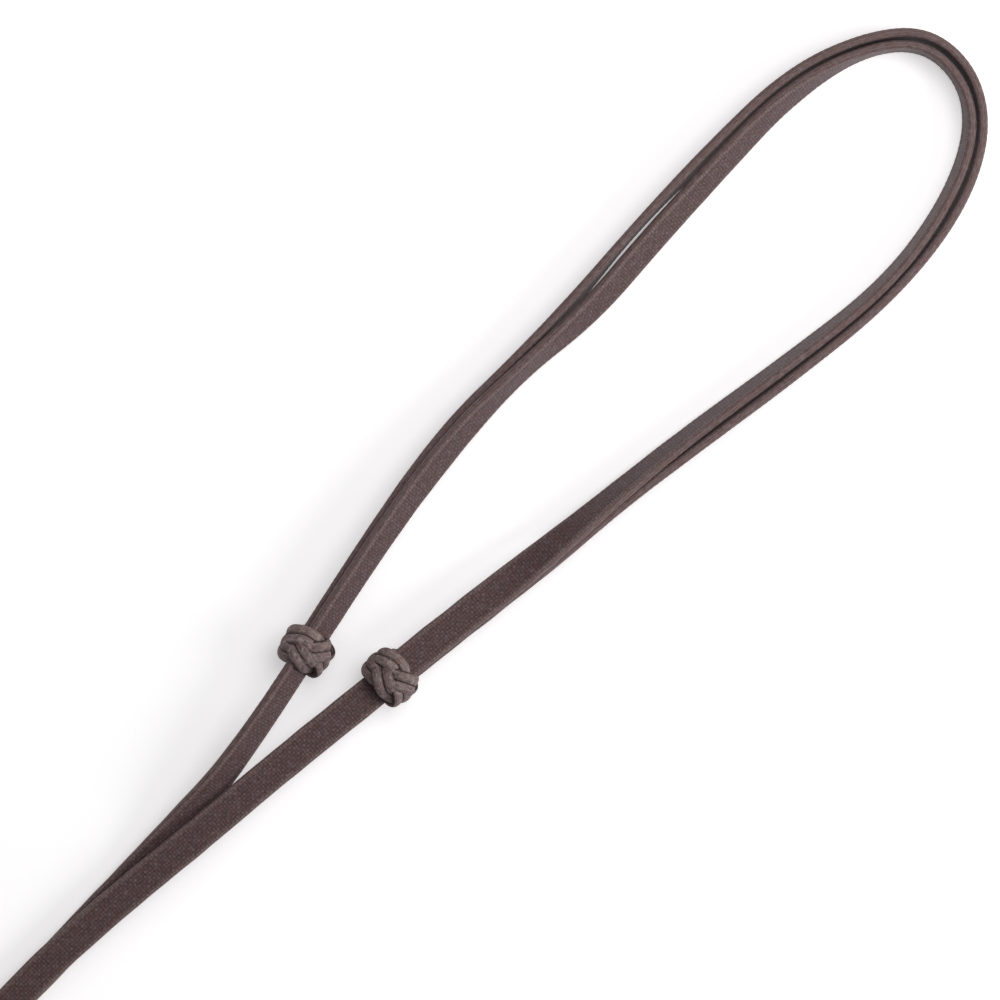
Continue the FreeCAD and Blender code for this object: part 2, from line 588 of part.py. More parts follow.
subParts = addStrapPieces("left", "right", leftLeg + leftLoop + leftTail, leftTailTop, 1)
subParts += addStrapPieces("right", "left", rightLeg + rightLoop + rightTail, rightTailTop, -1)
for side, endX in (("left", leftEndX), ("right", rightEndX)):
    tabY = endTop - size("crimpLong") - size("tabReach")
    tabPivot = Vector(endX, tabY, worked(hingeHeight))
    loopPivot = tabPivot - Vector(0, size("linkLong"), 0)
    subParts.append(addKnot(side))
    subParts.append(addCrimp(side, tabPivot))
    subParts.append(addLink(side, tabPivot))
    subParts.append(addTempleLoop(side, loopPivot))
    subParts.append(addCoil(side, loopPivot))
    print(side, "tab pivot", tuple(tabPivot), "loop pivot", tuple(loopPivot))
doc.recompute()

for thing in doc.Objects:
    if "Invalid" in thing.State or "Error" in thing.State:
        raise RuntimeError(thing.Name + " did not build")
for part in subParts:
    if part.Shape.isNull() or not part.Shape.isValid() or len(part.Shape.Solids) != 1:
        raise RuntimeError(part.Label + " has no sound solid")

os.makedirs("parts", exist_ok=True)
for part in subParts:
    part.Shape.exportStep("parts/%s.step" % part.Label)
    box = part.Shape.BoundBox
    print("%-18s x %.2f..%.2f  y %.2f..%.2f  z %.2f..%.2f" % (
        part.Label, box.XMin, box.XMax, box.YMin, box.YMax, box.ZMin, box.ZMax))
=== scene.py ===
import bmesh
import bpy
import math
from mathutils import Matrix, Vector, noise


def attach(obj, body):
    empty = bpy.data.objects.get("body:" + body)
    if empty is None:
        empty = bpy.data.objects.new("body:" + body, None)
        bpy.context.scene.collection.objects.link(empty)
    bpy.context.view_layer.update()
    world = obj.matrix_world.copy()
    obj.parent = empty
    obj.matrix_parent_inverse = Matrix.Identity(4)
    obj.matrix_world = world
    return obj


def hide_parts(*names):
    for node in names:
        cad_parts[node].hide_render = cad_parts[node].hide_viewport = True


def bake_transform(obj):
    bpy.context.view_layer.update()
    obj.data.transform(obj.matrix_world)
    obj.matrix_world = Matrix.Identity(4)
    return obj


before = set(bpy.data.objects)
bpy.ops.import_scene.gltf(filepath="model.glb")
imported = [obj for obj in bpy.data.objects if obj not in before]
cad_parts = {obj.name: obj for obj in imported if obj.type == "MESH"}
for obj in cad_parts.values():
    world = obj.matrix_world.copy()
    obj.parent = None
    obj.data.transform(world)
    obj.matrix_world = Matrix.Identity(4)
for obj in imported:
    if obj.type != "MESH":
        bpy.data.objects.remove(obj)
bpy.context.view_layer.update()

# Adjustable neck strap for glasses, lying on a pale table: two flat waxed straps,
# two woven sliding knots, and a crimp, link, rubber loop and coil on each end.

scene = bpy.context.scene
print("frame:", len(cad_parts), "nodes")

view = {
    "centre": (-0.0023, 0.077, 0.0025), "across": 0.1515,      # the square of table that is seen
    "lens": 200.0, "sensor": 36.0, "turn": 45.0,
}


def addCamera():
    data = bpy.data.cameras.new("camera")
    data.lens, data.sensor_width = view["lens"], view["sensor"]
    camera = bpy.data.objects.new("camera", data)
    distance = view["across"] * view["lens"] / view["sensor"]
    camera.location = Vector(view["centre"]) + Vector((0, 0, distance))
    camera.rotation_euler = (0, 0, math.radians(view["turn"]))
    scene.collection.objects.link(camera)
    scene.camera = camera


addCamera()

# ---- the lie of the two straps ----

strap = {
    "width": 0.0050, "thick": 0.0012, "corner": 0.0004, "layerGap": 0.00012,
    "threadsAround": 24,        # threads counted once round the flat strap
    "relief": 0.000019,         # height of a thread over the cloth's mean
    "edgeCalm": 0.75,           # share of that relief lost round the edges
    "bead": 0.00007, "beadIn": 0.00042, "beadWide": 0.00020,      # raised selvedge
    "groove": 0.00004, "grooveIn": 0.00092,
    "ridge": 0.00002, "ridgeApart": 0.00042,      # fine ridges along the edges
    "waver": 0.00006, "waverRate": 0.06,          # how far the width wanders, and how fast
    "cordRows": 8,              # a spacing along the strap, in rows
}
layerShift = (strap["thick"] + strap["layerGap"]) / 2

# Where each knot sits, the slope of its slide line, how far the straps lean in
# it, and how far the held tip lies across and apart from the running strap.
knots = {
    "left": {
        "centre": (-0.0070, 0.0403, 0.00438), "slope": -0.2217, "lean": 56.0,
        "tipShift": -0.0009, "tipGap": 0.00022,
    },
    "right": {
        "centre": (0.00485, 0.0465, 0.00410), "slope": 0.115, "lean": 0.0,
        "tipShift": 0.0003, "tipGap": 0.0,
    },
}
knotLong, tipDepth = 0.0066, 0.0052


def knotAxes(side):
    # along the slide line, across the strap, and out of its upper face
    along = Vector((knots[side]["slope"], 1, 0)).normalized()
    inside = along.cross(Vector((0, 0, 1))) * (1 if side == "left" else -1)
    lean = math.radians(knots[side]["lean"])
    normal = Vector((0, 0, math.cos(lean))) + inside * math.sin(lean)
    return along, normal.cross(along), normal


def onKnotLine(side, y, strapSide):
    # a strap's middle where the slide line passes y
    knot = knots[side]
    along, across, normal = knotAxes(side)
    apart = layerShift + (0 if strapSide == side else knot["tipGap"])
    layer = apart if strapSide == "left" else -apart
    shift = (-0.5 if strapSide == side else 0.5) * knot["tipShift"]
    middle = Vector(knot["centre"])
    point = middle + along * ((y - middle.y) / along.y) + normal * layer + across * shift
    return (*point, knot["lean"])


def tipEnd(side):
    along = knotAxes(side)[0]
    return knots[side]["centre"][1] + (knotLong / 2 - tipDepth) * along.y


# x, y, height of the strap's middle, and the lean of its upper face to the
# inside of the loop, in degrees
leftRoute = [
    (-0.0074, -0.1289, 0.0013, 0), (-0.0074, -0.103, 0.0013, 0), (-0.0062, -0.078, 0.0008, 0),
    (-0.0024, -0.052, 0.0007, 0), (-0.0006, -0.030, 0.0007, 0), (-0.0012, -0.011, 0.00095, 4),
    (-0.0016, 0.005, 0.00175, 20), onKnotLine("left", 0.0225, "left"),
    onKnotLine("left", 0.0595, "left"), (-0.0138, 0.0795, 0.0041, 50), (-0.0139, 0.093, 0.0034, 72),
    (-0.0128, 0.107, 0.0027, 50), (-0.0139, 0.121, 0.0024, 49), (-0.0146, 0.136, 0.0025, 52),
    (-0.01495, 0.151, 0.0027, 61), (-0.0119, 0.1636, 0.0027, 86), (-0.0060, 0.1712, 0.0027, 88),
    (0.0026, 0.1715, 0.0027, 90), (0.0095, 0.1664, 0.0027, 79), (0.0141, 0.1555, 0.0027, 79),
    (0.0161, 0.141, 0.0027, 76), (0.0138, 0.1225, 0.0027, 72), (0.0109, 0.104, 0.0029, 68),
    (0.00925, 0.088, 0.0040, 58), (0.0082, 0.076, 0.0046, 36), onKnotLine("right", 0.063, "left"),
    onKnotLine("right", tipEnd("right"), "left"),
]
rightRoute = [
    (0.0066, -0.1289, 0.0013, 0), (0.0066, -0.103, 0.0013, 0), (0.0052, -0.077, 0.0015, 0),
    (0.0010, -0.050, 0.0021, 0), (-0.0013, -0.029, 0.0021, 0), (-0.0006, -0.010, 0.0029, 0),
    (0.0013, 0.009, 0.0039, 0), onKnotLine("right", 0.027, "right"),
    onKnotLine("right", 0.067, "right"), (0.0102, 0.087, 0.0026, 66), (0.0126, 0.103, 0.00265, 72),
    (0.0156, 0.1215, 0.00265, 78), (0.0177, 0.140, 0.00265, 80), (0.0162, 0.156, 0.00265, 83),
    (0.0110, 0.1676, 0.00265, 84), (0.0030, 0.1734, 0.00265, 86), (-0.0064, 0.1731, 0.00265, 86),
    (-0.0126, 0.1658, 0.00262, 83), (-0.01685, 0.1535, 0.00262, 75), (-0.01725, 0.137, 0.00262, 77),
    (-0.0171, 0.1215, 0.00265, 89), (-0.0158, 0.107, 0.00262, 80), (-0.0151, 0.094, 0.00258, 70),
    (-0.01505, 0.079, 0.0027, 60), onKnotLine("left", 0.0605, "right"),
    onKnotLine("left", tipEnd("left"), "right"),
]
tailTop = {"left": 0.103, "right": 0.108}


def splinePoints(controls, resolution=48):
    # the points of a smooth spline with these control points
    data = bpy.data.curves.new("route", "CURVE")
    data.dimensions = "3D"
    spline = data.splines.new("NURBS")
    spline.points.add(len(controls) - 1)
    for point, place in zip(spline.points, controls):
        point.co = (*place, 1)
    spline.order_u = 3
    spline.use_endpoint_u = True
    spline.resolution_u = resolution
    route = bpy.data.objects.new("route", data)
    scene.collection.objects.link(route)
    bpy.context.view_layer.update()
    settled = route.evaluated_get(bpy.context.evaluated_depsgraph_get())
    mesh = bpy.data.meshes.new_from_object(settled)
    points = [v.co.copy() for v in mesh.vertices]
    bpy.data.objects.remove(route)
    bpy.data.meshes.remove(mesh)
    return points


def evenStations(points, values, step):
    # places, directions and leans at even steps along a line
    lengths = [0.0]
    for a, b in zip(points, points[1:]):
        lengths.append(lengths[-1] + (b - a).length)
    count = round(lengths[-1] / step)
    places, leans, k = [], [], 0
    for i in range(count + 1):
        at = lengths[-1] * i / count
        while k < len(points) - 2 and lengths[k + 1] < at:
            k += 1
        share = (at - lengths[k]) / (lengths[k + 1] - lengths[k])
        places.append(points[k].lerp(points[k + 1], share))
        leans.append(values[k] + (values[k + 1] - values[k]) * share)
    reach = 2
    ways = [(places[min(i + reach, count)] - places[max(i - reach, 0)]).normalized()
            for i in range(count + 1)]
    return places, ways, leans


def outlineLengths(size):
    flat = size["width"] - 2 * size["corner"]
    side = size["thick"] - 2 * size["corner"]
    return flat, side, math.pi * size["corner"] / 2


def outlineAt(share, size):
    # a point of a rounded oblong, this share of the way round it from the
    # middle of its lower side, and its outward direction there
    flat, side, bend = outlineLengths(size)
    mirrored = share > 0.5
    s = (1 - share if mirrored else share) * 2 * (flat + side + 2 * bend)
    w, t, c = size["width"] / 2, size["thick"] / 2, size["corner"]
    if s < flat / 2:
        point, way = (s, -t), (0.0, -1.0)
    elif s < flat / 2 + bend:
        angle = (s - flat / 2) / c - math.pi / 2
        way = (math.cos(angle), math.sin(angle))
        point = (w - c + c * way[0], c - t + c * way[1])
    elif s < flat / 2 + bend + side:
        point, way = (w, c - t + s - flat / 2 - bend), (1.0, 0.0)
    elif s < flat / 2 + 2 * bend + side:
        angle = (s - flat / 2 - bend - side) / c
        way = (math.cos(angle), math.sin(angle))
        point = (w - c + c * way[0], t - c + c * way[1])
    else:
        point, way = (flat + side + 2 * bend - s, t), (0.0, 1.0)
    if mirrored:
        point, way = (-point[0], point[1]), (-way[0], way[1])
    return point, way


flatLong, sideLong, bendLong = outlineLengths(strap)
strapRound = 2 * (flatLong + sideLong) + 4 * bendLong
threadPitch = strapRound / strap["threadsAround"]
rowStep = threadPitch / 2


def wrapGrid(name, stations, around, place, uvStep, closed=False):
    # A tube from a grid: place(i, j) gives the point of row i and column j,
    # and its map holds lengths along and round the tube.
    bm = bmesh.new()
    bmesh.ops.create_grid(bm, x_segments=stations - 1, y_segments=around, size=0.5)
    cloth = bm.loops.layers.uv.new("cloth")
    for face in bm.faces:
        for loop in face.loops:
            i, j = (loop.vert.co.x + 0.5) * (stations - 1), (loop.vert.co.y + 0.5) * around
            loop[cloth].uv = (i * uvStep[0], j * uvStep[1])
    for vert in bm.verts:
        i, j = round((vert.co.x + 0.5) * (stations - 1)), round((vert.co.y + 0.5) * around)
        vert.co = place(i % (stations - 1) if closed else i, j % around)
    bmesh.ops.remove_doubles(bm, verts=bm.verts, dist=1e-7)
    if not closed:
        bmesh.ops.holes_fill(bm, edges=[e for e in bm.edges if e.is_boundary])
    return finishMesh(name, bm)


def finishMesh(name, bm, smooth=True):
    # many-sided end faces stay flat, with a sharp rim
    bmesh.ops.recalc_face_normals(bm, faces=bm.faces)
    for face in bm.faces:
        face.smooth = smooth and len(face.verts) <= 4
    for edge in bm.edges:
        edge.smooth = all(face.smooth for face in edge.link_faces)
    mesh = bpy.data.meshes.new(name)
    bm.to_mesh(mesh)
    bm.free()
    piece = bpy.data.objects.new(name, mesh)
    scene.collection.objects.link(piece)
    return piece


def strapPiece(name, line, start, stop, inward):
    # the stretch of one strap from row start to row stop
    places, ways, leans = line
    columns = 2 * strap["threadsAround"]
    sections = [outlineAt(j / columns, strap) for j in range(columns)]
    frames = []
    for i in range(start, stop + 1):
        side = ways[i].cross(Vector((0, 0, 1))).normalized() * inward
        upright = side.cross(ways[i]) * inward
        lean = math.radians(leans[i])
        normal = upright * math.cos(lean) + side * math.sin(lean)
        frames.append((places[i], ways[i].cross(normal).normalized(), normal))

    def mound(a, wayN, centre):
        # one on the line this far in from the strap's edge, nothing away from it
        inwards = strap["width"] / 2 - abs(a)
        return math.exp(-((inwards - strap[centre]) / strap["beadWide"]) ** 2) * abs(wayN)

    def place(i, j):
        middle, across, normal = frames[i]
        (a, n), (wayA, wayN) = sections[j]
        row = start + i
        thread = math.sin(math.pi * row / 2) * math.sin(math.pi * j / 2)
        rise = strap["relief"] * thread * (1 - strap["edgeCalm"] * abs(wayA))
        rise += strap["ridge"] * math.cos(2 * math.pi * n / strap["ridgeApart"]) * abs(wayA)
        rise += strap["bead"] * mound(a, wayN, "beadIn")
        rise -= strap["groove"] * mound(a, wayN, "grooveIn")
        # each edge of each strap wanders by its own noise
        wandering = Vector((row * strap["waverRate"], inward * 3.0, 1.0 if a > 0 else 5.0))
        wander = strap["waver"] * noise.noise(wandering)
        a += wander * min(1.0, abs(a) / (strap["width"] / 2)) * (1 if a > 0 else -1)
        return middle + across * (a + wayA * rise) + normal * (n + wayN * rise)

    piece = wrapGrid(name, stop - start + 1, columns, place, (rowStep, rowStep))
    selvedge = piece.data.attributes.new("selvedge", "FLOAT", "POINT")
    edge = piece.data.attributes.new("edge", "FLOAT", "POINT")
    maps = piece.data.uv_layers["cloth"].data
    for loop in piece.data.loops:
        (a, n), (wayA, wayN) = sections[round(maps[loop.index].uv.y / rowStep) % columns]
        selvedge.data[loop.vertex_index].value = mound(a, wayN, "beadIn")
        edge.data[loop.vertex_index].value = abs(wayA)
    return piece


def crossingRow(places, y):
    # the last row where the line comes down past y
    return max(i for i in range(len(places) - 1) if places[i].y >= y > places[i + 1].y)


def addStrap(side, other, route, inward):
    # inward is 1 or -1, towards the inside of the loop from the strap's own run;
    # the leans follow the same spline, as a share of a half turn
    points = splinePoints([p[:3] for p in route])
    halfTurn = 180
    leans = [p.x * halfTurn for p in splinePoints([(p[3] / halfTurn, 0, 0) for p in route])]
    line = evenStations(points, leans, rowStep)
    places = line[0]
    along = knotAxes(other)[0]
    mouth = knots[other]["centre"][1] + knotLong / 2 * along.y
    tailRow, tipRow = crossingRow(places, tailTop[side]), crossingRow(places, mouth)
    lastRow = len(places) - 1
    main = strapPiece(side + "StrapCloth", line, 0, tailRow, inward)
    tail = strapPiece(side + "TailCloth", line, tailRow, tipRow, inward)
    tip = strapPiece(side + "TipCloth", line, tipRow, lastRow, inward)
    for piece, node in ((main, "_strap"), (tail, "_strap_tail"), (tip, "_strap_tip")):
        piece.data.materials.append(strapFinish)
        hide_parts(side + node)
    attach(main, "root")
    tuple(places[tailRow])
    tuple(places[tipRow])
    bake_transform(tail)
    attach(tip, other + "_knot")
    for piece, first, last in ((main, 0, tailRow), (tail, tailRow, tipRow)):
        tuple(places[first])
    print("%s strap: %.1f mm in all" % (side, 1000 * rowStep * lastRow))


# ---- finishes ----

def newMaterial(name):
    material = bpy.data.materials.new(name)
    material.use_nodes = True
    tree = material.node_tree
    shader = next(n for n in tree.nodes if n.type == "BSDF_PRINCIPLED")
    return material, tree, shader


def addNode(tree, kind, inputs=None, **settings):
    # one node, its settings and its inputs, each a value or another's output
    node = tree.nodes.new("ShaderNode" + kind)
    for key, value in settings.items():
        setattr(node, key, value)
    for key, value in (inputs or {}).items():
        if isinstance(value, bpy.types.NodeSocket):
            tree.links.new(value, node.inputs[key])
        else:
            node.inputs[key].default_value = value
    return node


def calc(tree, operation, a, b=0.0):
    return addNode(tree, "Math", {0: a, 1: b}, operation=operation).outputs[0]


def plus(tree, a, b):
    return calc(tree, "ADD", a, b)


def times(tree, a, b):
    return calc(tree, "MULTIPLY", a, b)


def vectorCalc(tree, operation, inputs):
    return addNode(tree, "VectorMath", inputs, operation=operation).outputs[0]


def blendColour(tree, share, a, b):
    return addNode(tree, "Mix", {0: share, 6: a, 7: b}, data_type="RGBA").outputs[2]


def ramp(tree, value, limits):
    # a mask that rises from 0 to 1 between two values
    inputs = {0: value, 1: limits[0], 2: limits[1]}
    return addNode(tree, "MapRange", inputs, interpolation_type="SMOOTHSTEP").outputs[0]


def noiseAt(tree, where, scale, detail=3.0, roughness=0.55, output=0):
    inputs = {"Vector": where, "Scale": scale, "Detail": detail, "Roughness": roughness}
    return addNode(tree, "TexNoise", inputs).outputs[output]


def stretched(tree, where, scale, turn=0.0):
    return addNode(tree, "Mapping", {0: where, 2: (0, 0, turn), 3: scale}).outputs[0]


def placeOf(tree):
    return addNode(tree, "TexCoord").outputs["Object"]


def attributeOf(tree, name):
    return addNode(tree, "Attribute", attribute_name=name).outputs["Fac"]


def setColour(tree, shader, colour):
    tree.links.new(colour, shader.inputs["Base Color"])


def setRoughness(tree, shader, value, limits, rough):
    inputs = {0: value, 1: limits[0], 2: limits[1], 3: rough[0], 4: rough[1]}
    mapped = addNode(tree, "MapRange", inputs).outputs[0]
    tree.links.new(mapped, shader.inputs["Roughness"])


def setBump(tree, shader, height, strength, distance):
    bump = addNode(tree, "Bump", {"Height": height, "Strength": strength, "Distance": distance})
    tree.links.new(bump.outputs[0], shader.inputs["Normal"])


cloth = {
    # painted shade: the first colour is painted into the gaps of the weave
    "paintedCreviceShade": (0.036, 0.019, 0.019, 1), "thread": (0.118, 0.074, 0.072, 1),
    "warm": (0.100, 0.046, 0.044, 1), "cool": (0.215, 0.172, 0.185, 1),
    # a lighter colour for scuffs, which are wear, and for the painted highlight along the edges
    "wearAndHighlight": (0.270, 0.203, 0.184, 1),
    # noises: scale, detail and roughness
    "grain": (3200.0, 3.0, 0.7), "patches": (750.0, 4.0, 0.65), "tints": (1300.0, 3.0, 0.6),
    "scuffs": (2100.0, 4.0, 0.7), "driftNoise": (1500.0, 2.0, 0.5),
    "drift": 0.00035,                           # how far the threads wander
    "fibreLong": 900, "fibreFine": 9000,        # fibres along and across a thread, per metre
    "ridgesPerThread": 1.2,
    # values between which each mask rises
    "warpLimits": (-0.2, 0.2), "gapLimits": (0.0, 0.75), "edgeLimits": (0.3, 0.9),
    "lightLimits": (0.27, 0.78), "warmLimits": (0.46, 0.66), "coolLimits": (0.40, 0.70),
    "scuffLimits": (0.52, 0.76), "scuffHeight": (0.35, 0.95),
    # what makes the height of the flat cloth, and of the lines on its edges
    "gapPart": 0.20, "weavePart": 0.07, "fibrePart": 0.36, "grainPart": 0.50,
    "ridgePart": 0.11, "edgeLift": 0.13,
    # how strongly each colour lies on
    "warmPart": 0.50, "coolByThread": 0.5, "coolLeast": 0.1,
    # the scuffs are wear; the next share sets the painted highlight along the selvedge and edges
    "scuffPart": 0.50, "edgeHighlightPart": 0.72, "edgePart": 0.30,
    "roughFrom": (0.6, 1.4), "rough": (0.46, 0.70), "bump": (0.5, 0.00007),
    "specular": 0.18, "sheen": 0.09, "sheenRough": 0.5, "sheenTint": (0.95, 0.90, 0.97, 1),
}


def clothHeight(tree, cloths, place, edge):
    # the height of the woven face and the ridged edge, a random value for each
    # float of thread, and the fibres
    centred = vectorCalc(tree, "SUBTRACT", {
        0: noiseAt(tree, place, *cloth["driftNoise"], output="Color"), 1: (0.5, 0.5, 0.5)})
    drift = vectorCalc(tree, "SCALE", {0: centred, "Scale": cloth["drift"]})
    wandering = vectorCalc(tree, "ADD", {0: cloths, 1: drift})
    inThreads = vectorCalc(tree, "SCALE", {0: wandering, "Scale": 1 / threadPitch})
    split = addNode(tree, "SeparateXYZ", {0: inThreads})
    turns = [calc(tree, "SINE", times(tree, split.outputs[k], math.pi)) for k in (0, 1)]
    weave = times(tree, *turns)
    floatCell = vectorCalc(tree, "FLOOR", {0: inThreads})
    chance = addNode(tree, "TexWhiteNoise", {"Vector": floatCell}, noise_dimensions="3D")
    fine, long = cloth["fibreFine"], cloth["fibreLong"]
    warpFibre = noiseAt(tree, stretched(tree, cloths, (long, fine, 1)), 1.0)
    weftFibre = noiseAt(tree, stretched(tree, cloths, (fine, long, 1)), 1.0)
    isWarp = ramp(tree, weave, cloth["warpLimits"])
    fibre = addNode(tree, "Mix", {0: isWarp, 2: weftFibre, 3: warpFibre}).outputs[0]
    gap = calc(tree, "MINIMUM", *(calc(tree, "ABSOLUTE", turn) for turn in turns))
    flat = times(tree, ramp(tree, gap, cloth["gapLimits"]), cloth["gapPart"])
    flat = plus(tree, flat, times(tree, weave, cloth["weavePart"]))
    flat = plus(tree, flat, times(tree, fibre, cloth["fibrePart"]))
    flat = plus(tree, flat, times(tree, noiseAt(tree, place, *cloth["grain"]), cloth["grainPart"]))
    ridgeTurn = times(tree, split.outputs[1], math.tau * cloth["ridgesPerThread"])
    ridges = times(tree, calc(tree, "SINE", ridgeTurn), cloth["ridgePart"])
    lines = plus(tree, ridges, plus(tree, warpFibre, cloth["edgeLift"]))
    onEdge = ramp(tree, edge, cloth["edgeLimits"])
    height = addNode(tree, "Mix", {0: onEdge, 2: flat, 3: lines}).outputs[0]
    return height, chance.outputs["Value"], fibre


def strapMaterial():
    material, tree, shader = newMaterial("waxedStrap")
    cloths = addNode(tree, "UVMap", uv_map="cloth").outputs[0]
    place = placeOf(tree)
    selvedge, edge = attributeOf(tree, "selvedge"), attributeOf(tree, "edge")
    height, chance, fibre = clothHeight(tree, cloths, place, edge)
    patches, tints, scuffs = (noiseAt(tree, place, *cloth[k]) for k in ("patches", "tints", "scuffs"))
    # painted shade: the colour follows the cloth's height, so the weave's gaps are painted dark and its
    # raised threads lighter; the fibres and grain in that height are the cloth's own tone
    light = ramp(tree, height, cloth["lightLimits"])
    base = blendColour(tree, light, cloth["paintedCreviceShade"], cloth["thread"])
    warm = times(tree, ramp(tree, patches, cloth["warmLimits"]), cloth["warmPart"])
    base = blendColour(tree, warm, base, cloth["warm"])
    byThread = plus(tree, times(tree, chance, cloth["coolByThread"]), cloth["coolLeast"])
    cool = times(tree, byThread, times(tree, ramp(tree, tints, cloth["coolLimits"]), light))
    base = blendColour(tree, cool, base, cloth["cool"])
    # scuffs on the raised cloth are real wear; the selvedge beads and edges get a painted highlight,
    # strongest on raised threads
    wearAndHighlight = times(tree, ramp(tree, scuffs, cloth["scuffLimits"]), ramp(tree, height, cloth["scuffHeight"]))
    paintedEdgeHighlight = times(tree, calc(tree, "MAXIMUM", selvedge, times(tree, edge, cloth["edgePart"])), light)
    wearAndHighlight = calc(tree, "MAXIMUM", times(tree, wearAndHighlight, cloth["scuffPart"]),
                times(tree, paintedEdgeHighlight, cloth["edgeHighlightPart"]))
    setColour(tree, shader, blendColour(tree, wearAndHighlight, base, cloth["wearAndHighlight"]))
    setRoughness(tree, shader, plus(tree, fibre, patches), cloth["roughFrom"], cloth["rough"])
    setBump(tree, shader, height, *cloth["bump"])
    shader.inputs["Specular IOR Level"].default_value = cloth["specular"]
    shader.inputs["Sheen Weight"].default_value = cloth["sheen"]
    shader.inputs["Sheen Roughness"].default_value = cloth["sheenRough"]
    shader.inputs["Sheen Tint"].default_value = cloth["sheenTint"]
    return material


cordLook = {
    # painted shade: the first colour is painted between the strands
    "paintedCreviceShade": (0.024, 0.014, 0.013, 1), "dark": (0.084, 0.057, 0.054, 1),
    "light": (0.235, 0.178, 0.172, 1), "pale": (0.33, 0.275, 0.262, 1),
    "warm": (0.18, 0.112, 0.102, 1),
    "lay": math.radians(14), "fibreScale": (800, 5600, 1),      # fibres twisted along the cord
    "fibres": (1.0, 5.0, 0.65), "clumps": (1700.0, 4.0, 0.6), "tints": (700.0, 3.0, 0.6),
    "fibrePart": 0.60, "clumpPart": 0.40, "warmPart": 0.45, "palePart": 0.45,
    "lightLimits": (0.38, 0.60), "warmLimits": (0.48, 0.66), "paleLimits": (0.54, 0.70),
    "crownLimits": (0.16, 0.84),
    "rough": 0.72, "specular": 0.25, "bump": (0.7, 0.00016),
}


def cordMaterial():
    look = cordLook
    material, tree, shader = newMaterial("waxedCord")
    strand = addNode(tree, "UVMap", uv_map="cloth").outputs[0]
    place = placeOf(tree)
    twisted = stretched(tree, strand, look["fibreScale"], look["lay"])
    fibres = noiseAt(tree, twisted, *look["fibres"])
    clumps, tints = (noiseAt(tree, place, *look[k]) for k in ("clumps", "tints"))
    height = plus(tree, times(tree, fibres, look["fibrePart"]), times(tree, clumps, look["clumpPart"]))
    base = blendColour(tree, ramp(tree, height, look["lightLimits"]), look["dark"], look["light"])
    warm = times(tree, ramp(tree, tints, look["warmLimits"]), look["warmPart"])
    base = blendColour(tree, warm, base, look["warm"])
    pale = times(tree, ramp(tree, clumps, look["paleLimits"]), look["palePart"])
    base = blendColour(tree, pale, base, look["pale"])
    # painted shade: the strands' flanks, where they press on their neighbours, are painted dark
    crown = ramp(tree, attributeOf(tree, "crown"), look["crownLimits"])
    setColour(tree, shader, blendColour(tree, crown, look["paintedCreviceShade"], base))
    setBump(tree, shader, height, *look["bump"])
    shader.inputs["Roughness"].default_value = look["rough"]
    shader.inputs["Specular IOR Level"].default_value = look["specular"]
    return material


metalLook = {
    "brushScale": (2500, 400, 2500), "brush": (1.0, 5.0, 0.6), "tarnish": (500.0, 4.0, 0.6),
    "dulled": 0.45, "tarnishLimits": (0.48, 0.72),
    "roughFrom": (0.3, 0.7), "smoother": 0.08, "rougher": 0.12, "bump": (0.12, 0.00005),
}


def metalMaterial(name, colour, roughness):
    look = metalLook
    material, tree, shader = newMaterial(name)
    place = placeOf(tree)
    brushed = noiseAt(tree, stretched(tree, place, look["brushScale"]), *look["brush"])
    tarnish = ramp(tree, noiseAt(tree, place, *look["tarnish"]), look["tarnishLimits"])
    dull = tuple(look["dulled"] * c for c in colour[:3]) + (1,)
    setColour(tree, shader, blendColour(tree, tarnish, colour, dull))
    rough = (roughness - look["smoother"], roughness + look["rougher"])
    setRoughness(tree, shader, brushed, look["roughFrom"], rough)
    setBump(tree, shader, brushed, *look["bump"])
    shader.inputs["Metallic"].default_value = 1.0
    return material


rubberLook = {
    "black": (0.020, 0.018, 0.018, 1), "dusty": (0.050, 0.045, 0.043, 1),
    "grain": (6000.0, 3.0, 0.6), "dust": (450.0, 5.0, 0.65), "dustLimits": (0.48, 0.75),
    "roughFrom": (0.3, 0.7), "rough": (0.48, 0.66), "bump": (0.25, 0.00004),
}


def rubberMaterial():
    look = rubberLook
    material, tree, shader = newMaterial("loopRubber")
    place = placeOf(tree)
    grain, dust = (noiseAt(tree, place, *look[k]) for k in ("grain", "dust"))
    dusty = ramp(tree, dust, look["dustLimits"])
    setColour(tree, shader, blendColour(tree, dusty, look["black"], look["dusty"]))
    setRoughness(tree, shader, dust, look["roughFrom"], look["rough"])
    setBump(tree, shader, grain, *look["bump"])
    return material


strapFinish = strapMaterial()
knotFinish = cordMaterial()
crimpFinish = metalMaterial("crimpMetal", (0.42, 0.37, 0.31, 1), 0.36)
wireFinish = metalMaterial("wireMetal", (0.50, 0.46, 0.41, 1), 0.26)
rubberFinish = rubberMaterial()

addStrap("left", "right", leftRoute, 1)
addStrap("right", "left", rightRoute, -1)

# ---- knots ----

knotCord = {
    "leads": 3, "bights": 4,                        # turns round the straps, bends at each end
    "wide": 0.0089, "deep": 0.0083,                 # the ring's outside, across and through the straps
    "hole": (0.00275, 0.00162), "holeSquare": 5,    # half sizes of its squarish opening
    "strandWide": 0.00166, "pairApart": 0.00163, "swing": 0.00178,
    "layerSquare": 0.7,                             # how quickly the pair changes layer
    "thinnest": 0.00095, "thickest": 0.00140, "crown": 0.16, "endTilt": 0.55, "tiltPower": 3,
    "lobes": 6, "lobeRise": 0.000025, "lobeTwist": 4.0, "squareness": 0.93,
    "stations": 640, "around": 32, "wander": 0.00016, "wanderReach": 3,
}


